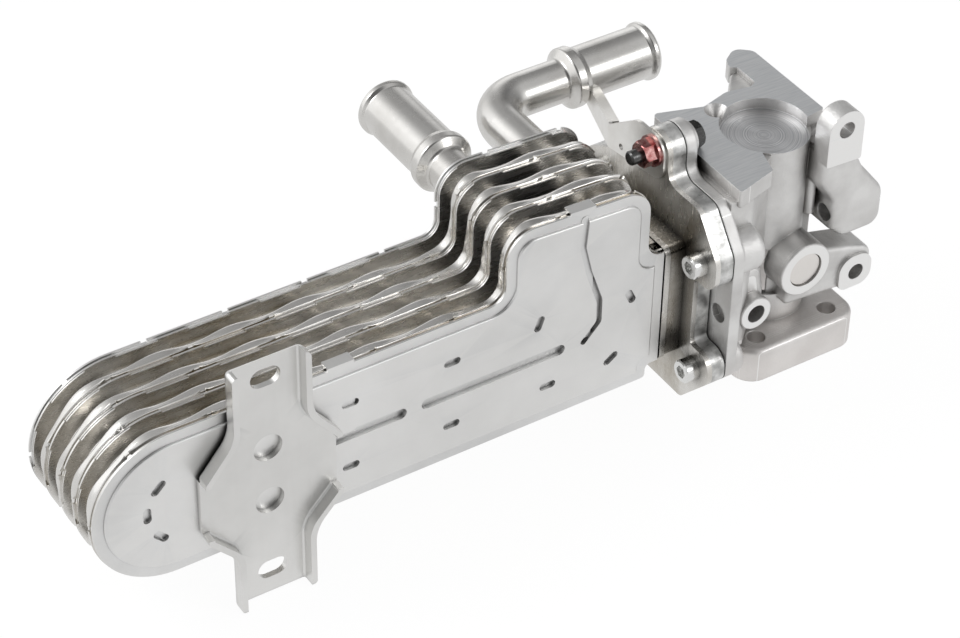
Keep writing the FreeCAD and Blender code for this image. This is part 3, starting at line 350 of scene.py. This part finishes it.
def tray_section():
    """Cross-section of the tray's edge: (inset, depth, share of the lip's form, share of the wave)."""
    rows = [(wall + gauge + inner_turn, tray_floor - gauge, 0, 0),
            (wall + gauge, tray_floor - shoulder, 0, 0), (wall + gauge, gauge, 0, 0), (seam, gauge, 0, 0),
            (seam, lip_front - lip_round, 0, 0), (lip_round, lip_front, 1, 0),
            (0.0, lip_front + lip_round, 1, 0), (0.0, lip_back - lip_round, 1, 0),
            (lip_round, lip_back, 1, 0), (wall - 0.15 * mm, lip_back, 0, 0.1),
            (wall, lip_back + 0.3 * mm, 0, 0.3), (wall, lip_back + 1.5 * mm, 0, 0.8)]
    for i in range(shoulder_steps):
        angle = math.pi / 2 * i / shoulder_steps
        rows.append((wall + shoulder * (1 - math.cos(angle)),
                     tray_floor - shoulder * (1 - math.sin(angle)), 0, 1))
    rows.append((wall + shoulder, tray_floor, 0, 0))
    return rows


def lip_form(along, marks, seed):
    """How far the lip is pinched out (minus) or notched in (plus) at a distance along the rim."""
    amount = wobble * noise.noise(Vector((along * lip_ripples, seed, 0.5)))
    for mark in marks:
        off = abs(along - mark)
        if off <= notch_half:
            return notch_depth
        if off < notch_half + pinch_reach:
            amount -= pinch_rise * (1 - (off - notch_half) / pinch_reach)
    return amount


def ring_tube(points, rows, columns, faces):
    """Side faces between neighbouring closed rings of a mesh."""
    for row in range(rows - 1):
        for i in range(columns):
            after = (i + 1) % columns
            faces.append((row * columns + i, row * columns + after,
                          (row + 1) * columns + after, (row + 1) * columns + i))


def mesh_piece(name, points, faces, material, smooth_angle=35.0):
    """A piece of its own, with smooth shading up to an angle."""
    mesh = bpy.data.meshes.new(name)
    mesh.from_pydata(points, [], faces)
    mesh.materials.append(material)
    piece = bpy.data.objects.new(name, mesh)
    scene.collection.objects.link(piece)
    form = bmesh.new()
    form.from_mesh(mesh)
    bmesh.ops.recalc_face_normals(form, faces=form.faces)
    for face in form.faces:
        face.smooth = True
    for edge in form.edges:
        edge.smooth = len(edge.link_faces) == 2 and edge.calc_face_angle() < math.radians(smooth_angle)
    form.to_mesh(mesh)
    form.free()
    return piece


def port_collar(points, faces, x, z, low, high, inner, outer, columns=40):
    """Short round collar that joins a tray's port to the next plate."""
    first = len(points)
    for radius, y in ((inner, low), (outer, low), (outer, high), (inner, high)):
        for i in range(columns):
            angle = 2 * math.pi * i / columns
            points.append((x + radius * math.cos(angle), y, z + radius * math.sin(angle)))
    for row in range(4):
        for i in range(columns):
            after = (i + 1) % columns
            low_row, high_row = first + row * columns, first + (row + 1) % 4 * columns
            faces.append((low_row + i, low_row + after, high_row + after, high_row + i))


# Painted shade: the AO node darkens the trays' gaps and hollows to grey, brown in patches, partly as furnace
# tint.
drawn_steel = finish("drawn_steel", sheet_bright, sheet_dull, 0.23, 500.0, stretch=(0.10, 1, 1),
                     cloud=26.0, bump=0.03, crevice_shade=gap_shade_grey, tint=furnace_tint_and_shade, grain_rough=0.06)
rim_length = sum(run[0] for run in rim_runs(rim_corners))
port_height = rim_top + 11.7 * mm
port_places = [block_left + 18.1 * mm, block_right - 15.0 * mm]
for cell in cells:
    front = stack_front + (cell - 1) * cell_depth
    shift = notch_shift * cell
    marks = [shift + notch_pitch * (i + 0.5) for i in range(int(rim_length / notch_pitch))]
    stations = rim_stations(marks)
    section = tray_section()
    points, faces = [], []
    for inset, depth, lip_share, wave_share in section:
        for point, inward, along in stations:
            wave = math.sin(2 * math.pi * along / wave_pitch + wave_lag * cell)
            wave += 0.5 * noise.noise(Vector((along * wave_ripples, cell, 7.5)))
            inner = inset - wave_share * wave_out * wave + lip_share * lip_form(along, marks, cell)
            place = point + inward * inner
            y = front + depth + wave_share * wave_back * wave
            ripple = noise.noise(Vector((along * depth_ripples, cell, 3.5)))
            y += (lip_share + 0.6 * wave_share) * wobble * ripple
            points.append((max(place.x, stack_low.x), y, place.y))
    ring_tube(points, len(section), len(stations), faces)
    last = (len(section) - 1) * len(stations)
    faces.append(tuple(range(len(stations))))
    faces.append(tuple(last + i for i in range(len(stations))))
    for x in port_places:
        port_collar(points, faces, x, port_height, front + tray_floor, front + cell_depth, port_inner,
                    port_outer)
    tray = mesh_piece("drawn_tray_%d" % cell, points, faces, drawn_steel)
    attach(tray, "root")
    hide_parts("coolant_tray_%d" % cell)

# Gas tubes and fins: flat tubes folded from thin stainless sheet, each filled with two
# banks of corrugated fins and brazed between two coolant cells. Only their edges show in
# the gaps, grey, with painted shade deeper in that is brown in patches, partly as furnace tint.
# The divider is of the same sheet.

# Painted shade: the AO node darkens the edges deep in the gaps, and the furnace brown tints that shade in
# patches.
gap_steel = finish("gap_steel", (0.78, 0.76, 0.73), (0.60, 0.57, 0.52), 0.3, 500.0, cloud=40.0, bump=0.03,
                   crevice_shade=(0.50, 0.47, 0.42), crevice_shade_reach=6 * mm, tint=furnace_tint_and_shade,
                   grain_rough=0.06)
dress(gap_steel, *["gas_tube_%d" % i for i in cells], *["gas_fins_lower_%d" % i for i in cells],
      *["gas_fins_upper_%d" % i for i in cells], "header_divider")

# Front and back covers: pressed stainless sheet that closes the first and the last coolant
# cell, brazed round the rim and locked by folded tabs. It is satin, with clouds where the
# furnace has dulled it, lighter on convex edges, and painted nearly black as shade under
# the bracket's lips.

# Painted shade: nearly black where the AO node finds the cover shut in, under the bracket's lips and round
# its feet.
cover_steel = finish("cover_steel", (0.86, 0.86, 0.855), (0.70, 0.70, 0.695), 0.40, 900.0, cloud=16.0,
                     bump=0.03, crevice_shade=(0.03, 0.03, 0.028), crevice_shade_reach=6 * mm,
                     shade_span=(0.05, 0.62), grain_rough=0.05, edge_lift=0.4)
dress(cover_steel, "front_cover", "back_cover")

# Mounting bracket: one strap pressed from steel sheet, with turned side lips, two holes and
# two slots, and welded on the front cover. It is brushed along its height and a little
# darker than the cover.

# Painted shade: nearly black in the holes and slots and along the lips, where the AO node finds the strap
# shut in.
bracket_steel = finish("bracket_steel", (0.76, 0.76, 0.75), (0.58, 0.58, 0.57), 0.34, 700.0,
                       stretch=(1, 1, 0.08), cloud=22.0, crevice_shade=(0.04, 0.04, 0.04),
                       crevice_shade_reach=3.5 * mm, shade_span=(0.10, 0.70), grain_rough=0.06, edge_lift=0.5)
dress(bracket_steel, "mounting_bracket")

# Coolant pipes: drawn stainless tube with a bead rolled near each hose end, brazed into the
# ports of the stack. The surface is satin, with long soft reflections.

pipe_steel = finish("pipe_steel", (0.74, 0.73, 0.71), (0.62, 0.605, 0.58), 0.25, 420.0, cloud=38.0,
                    bump=0.012, grain_rough=0.035)
dress(pipe_steel, "coolant_stub_pipe", "coolant_elbow_pipe")

# Stay: a short strap bent from steel sheet. The nut of the top stud holds one end, and the
# other end is welded to the bent coolant pipe.

stay_steel = finish("stay_steel", (0.84, 0.83, 0.80), (0.66, 0.64, 0.60), 0.32, 500.0, cloud=60.0,
                    grain_rough=0.05, edge_lift=0.4)
dress(stay_steel, "pipe_stay")

# Header, gaskets and flange plate: the header is welded from sheet that the heat has
# streaked, and its rim is clamped between thin gaskets by a thick plate whose edge is left
# as it was cut, dark and rough.

# Painted shade: nearly black deep between the header, the stack and the flange, where the AO node finds them
# shut in.
header_steel = finish("header_steel", (0.68, 0.66, 0.62), (0.40, 0.36, 0.30), 0.30, 600.0,
                      stretch=(1, 1, 0.15), cloud=55.0, bump=0.06, crevice_shade=(0.02, 0.017, 0.012),
                      crevice_shade_reach=14 * mm, shade_span=(0.35, 0.95), edge_lift=0.5)
dress(header_steel, "gas_header", "flange_gasket")
plate_steel = finish("plate_steel", (0.80, 0.80, 0.79), (0.42, 0.42, 0.41), 0.36, 420.0,
                     stretch=(0.4, 1, 1), cloud=190.0, bump=0.30)
dress(plate_steel, "flange_plate")
gasket_black = finish("gasket_black", (0.03, 0.03, 0.03), (0.05, 0.05, 0.05), 0.6, 700.0, metallic=0.0,
                      bump=0.1)
dress(gasket_black, "housing_gasket")

# Housing: one aluminium casting with a matt, finely grained skin. Its top face and pocket
# are milled, and the ears, port rings, rear pad and foot are machined to bright flats.

top_level = 106.0 * mm
pocket_level = top_level - 5.0 * mm
pocket_centre, pocket_radius = (-6.0 * mm, 0.0), 18.6 * mm
bright_flats = (-23.0 * mm, -24.0 * mm, -25.0 * mm, -30.0 * mm, 34.0 * mm)
flat_reach = 0.06 * mm
# The third tone is painted shade, nearly black, which the AO node below lays into recesses and under the ears
# and arms.
cast_bright, cast_dull, cast_recess_shade = (0.84, 0.835, 0.825), (0.66, 0.65, 0.64), (0.13, 0.12, 0.11)
foot_tone, foot_top, foot_low = (0.86, 0.81, 0.78), 30 * mm, 8 * mm
recess_shade_reach, recess_shade_span, edge_round = 7 * mm, (0.15, 0.80), 0.9 * mm
milled_dull, milled_bright = (0.78, 0.80, 0.82), (0.92, 0.93, 0.94)
cutter_way, cutter_marks = (0, 0, 0.9), (90, 1500, 1)
turned_dull, turned_bright = (0.62, 0.63, 0.65), (0.96, 0.96, 0.97)
rings_per_metre = 1900.0
faced_tone = (0.94, 0.935, 0.925)


def casting_skin():
    """Cast aluminium with milled, turned and machined areas, told apart by where they lie."""
    material = bpy.data.materials.new("casting_metal")
    tree, out = tree_of(material)

    def reckon(kind, first, second, third=0.0):
        return put(tree, "ShaderNodeMath", {0: first, 1: second, 2: third}, operation=kind).outputs[0]

    def apart(kind, first, second):
        return put(tree, "ShaderNodeVectorMath", {0: first, 1: second}, operation=kind).outputs

    def raised(height, strength, depth, **links):
        return put(tree, "ShaderNodeBump", {"Height": height, "Strength": strength,
                                            "Distance": depth, **links}).outputs[0]

    def metal(tone, roughness, normal, **links):
        return put(tree, "ShaderNodeBsdfPrincipled", {"Base Color": tone, "Metallic": 1.0,
                                                      "Roughness": roughness, "Normal": normal,
                                                      **links}).outputs[0]

    place = put(tree, "ShaderNodeTexCoord").outputs["Object"]
    axes = put(tree, "ShaderNodeSeparateXYZ", {0: place}).outputs
    machined = reckon("COMPARE", axes["Z"], 0.0, flat_reach)
    for level in bright_flats:
        machined = reckon("MAXIMUM", machined, reckon("COMPARE", axes["Y"], level, flat_reach))
    milled = reckon("COMPARE", axes["Z"], top_level, flat_reach)
    from_centre = apart("SUBTRACT", place, (*pocket_centre, pocket_level))[0]
    flat_way = apart("MULTIPLY", from_centre, (1, 1, 0))[0]
    away = put(tree, "ShaderNodeVectorMath", {0: flat_way}, operation="LENGTH").outputs["Value"]
    turned = reckon("MULTIPLY", reckon("COMPARE", axes["Z"], pocket_level, flat_reach),
                    reckon("LESS_THAN", away, pocket_radius))

    skin = blend(tree, ramp(tree, patches(tree, place, 55.0, 5.0), *cloud_span), cast_bright, cast_dull)
    skin = blend(tree, ramp(tree, axes["Z"], foot_top, foot_low, 0.5), skin, foot_tone)
    # Painted shade: the skin goes nearly black where the AO node finds it shut in.
    shade = put(tree, "ShaderNodeAmbientOcclusion", {"Distance": recess_shade_reach}, samples=8)
    skin = blend(tree, ramp(tree, shade.outputs["AO"], *recess_shade_span), cast_recess_shade, skin)
    soft_edge = put(tree, "ShaderNodeBevel", {"Radius": edge_round}, samples=6).outputs[0]
    grain = reckon("MULTIPLY", patches(tree, place, 1100.0, 3.0), 0.6)
    sand = reckon("ADD", grain, patches(tree, place, 260.0, 3.0))
    cast = metal(skin, 0.52, raised(sand, 0.5, 0.35 * mm, Normal=soft_edge))

    lines = put(tree, "ShaderNodeMapping", {"Vector": place, "Rotation": cutter_way,
                                            "Scale": cutter_marks}).outputs[0]
    streak = patches(tree, lines, 1.0, 4.0)
    mill_tone = blend(tree, ramp(tree, streak, *grain_span), milled_dull, milled_bright)
    mill = metal(mill_tone, 0.42, raised(streak, 0.10, 0.2 * mm))

    rings = put(tree, "ShaderNodeTexNoise", {"W": reckon("MULTIPLY", away, rings_per_metre),
                                             "Scale": 1.0, "Detail": 3.0},
                noise_dimensions="1D").outputs["Fac"]
    ring_tone = blend(tree, ramp(tree, rings, *grain_span), turned_dull, turned_bright)
    across = apart("CROSS_PRODUCT", flat_way, (0, 0, 1))[0]
    along = put(tree, "ShaderNodeVectorMath", {0: across}, operation="NORMALIZE").outputs[0]
    spin = metal(ring_tone, 0.30, raised(rings, 0.35, 0.2 * mm), Anisotropic=0.85, Tangent=along)

    faced = metal((*faced_tone, 1), 0.36, raised(patches(tree, place, 800.0, 2.0), 0.05, 0.2 * mm))

    surface = cast
    for share, area in ((machined, faced), (milled, mill), (turned, spin)):
        surface = put(tree, "ShaderNodeMixShader", {0: share, 1: surface, 2: area}).outputs[0]
    tree.links.new(surface, out.inputs["Surface"])
    return material


dress(casting_skin(), "housing_casting")

# Core plug: a steel disc pressed into the bore of the larger front boss, which it closes
# for good. Its face is bright and a little warm in colour.

plug_steel = finish("plug_steel", (0.86, 0.83, 0.80), (0.74, 0.71, 0.68), 0.34, 500.0, bump=0.03,
                    grain_rough=0.04)
dress(plug_steel, "core_plug")

# Fasteners: bright zinc-plated socket screws clamp the flange, turned and rolled from bar.
# A dark stud with a hexagon head holds the stay at the top, under a flanged nut with a
# copper-coloured coat.

zinc = finish("zinc", (0.82, 0.82, 0.81), (0.70, 0.70, 0.69), 0.2, 900.0, bump=0.04)
dress(zinc, "flange_screws")
dark_steel = finish("dark_steel", (0.12, 0.12, 0.12), (0.05, 0.05, 0.05), 0.3, 700.0, bump=0.1)
dress(dark_steel, "top_stud")
copper = finish("copper", (0.66, 0.40, 0.38), (0.30, 0.06, 0.06), 0.20, 700.0, cloud=260.0, bump=0.04,
                grain_rough=0.04)
dress(copper, "flange_nut")
